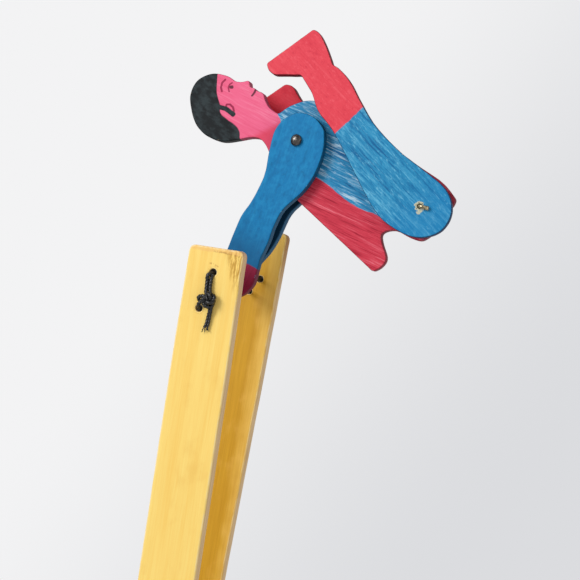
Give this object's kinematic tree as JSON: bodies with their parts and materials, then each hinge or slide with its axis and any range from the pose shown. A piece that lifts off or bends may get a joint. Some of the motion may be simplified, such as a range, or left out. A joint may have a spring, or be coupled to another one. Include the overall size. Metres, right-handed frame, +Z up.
{
  "type": "flip acrobat toy",
  "caption": "Hand-held squeeze toy: two wooden sticks on a crossbar twist a cord that flips a jointed, painted wooden acrobat.",
  "frame": {"origin": "middle of the crossbar's underside", "axes": "+Z up along the sticks from the grips to the figure, +Y from the front stick to the back one along the cord, +X to the right seen from the front"},
  "size_m": [0.0998, 0.0574, 0.3751],
  "materials": {
    "yellow_wood": "thin golden varnish over pine",
    "arm_paint": "smooth blue sleeve, maroon hand",
    "body_paint": "brushed paint: blue suit, red tail, pink face, dark hair",
    "leg_paint": "brushed paint: blue leg and red boot",
    "black_cord": "waxed",
    "steel_wire": "dull, tarnished"
  },
  "bodies": {
    "frame": {"crossbar": "yellow_wood", "front_nail": "steel_wire", "back_nail": "steel_wire", "front_upper_span": "black_cord", "front_lower_span": "black_cord", "back_upper_span": "black_cord", "back_lower_span": "black_cord"},
    "front_side": {"front_stick": "yellow_wood", "front_upper_cord": "black_cord", "front_lower_cord": "black_cord", "cord_knot": "black_cord"},
    "back_side": {"back_stick": "yellow_wood", "back_cord": "black_cord"},
    "near_arm": {"front_arm": "arm_paint", "upper_hand_cord": "black_cord", "lower_hand_cord": "black_cord"},
    "trunk": {"body": "body_paint", "shoulder_pin": "steel_wire", "hip_pin": "steel_wire"},
    "far_arm": {"back_arm": "arm_paint"},
    "near_leg": {"front_leg": "leg_paint"},
    "far_leg": {"back_leg": "leg_paint"}
  },
  "joints": [
    {"name": "squeeze", "type": "hinge", "parent": "frame", "child": "front_side", "pos_m": [0, -0.0156, 0.0075], "axis": [1, 0, 0], "range_deg": [-1.2, 0.2]},
    {"name": "back_squeeze", "type": "hinge", "parent": "frame", "child": "back_side", "pos_m": [0, 0.0156, 0.0075], "axis": [1, 0, 0], "range_deg": [-0.2, 1.2]},
    {"name": "flip", "type": "hinge", "parent": "frame", "child": "near_arm", "pos_m": [0.002, 0, 0.2], "axis": [0, 1, 0], "continuous": true, "deforming": ["front_upper_span", "front_lower_span", "back_upper_span", "back_lower_span"]},
    {"name": "shoulder", "type": "hinge", "parent": "near_arm", "child": "trunk", "pos_m": [0.01604, 0, 0.25132], "axis": [0, 1, 0], "range_deg": [-100, 30]},
    {"name": "far_shoulder", "type": "hinge", "parent": "trunk", "child": "far_arm", "pos_m": [0.01604, 0, 0.25132], "axis": [0, 1, 0], "range_deg": [-30, 100]},
    {"name": "near_hip", "type": "hinge", "parent": "trunk", "child": "near_leg", "pos_m": [0.06185, 0, 0.23464], "axis": [0, 1, 0], "range_deg": [0, 190]},
    {"name": "far_hip", "type": "hinge", "parent": "trunk", "child": "far_leg", "pos_m": [0.06185, 0, 0.23464], "axis": [0, 1, 0], "range_deg": [-20, 190]}
  ],
  "couplings": [
    {"joint": "back_squeeze", "follows": "squeeze", "ratio": -1},
    {"joint": "far_shoulder", "follows": "shoulder", "ratio": -1}
  ]
}
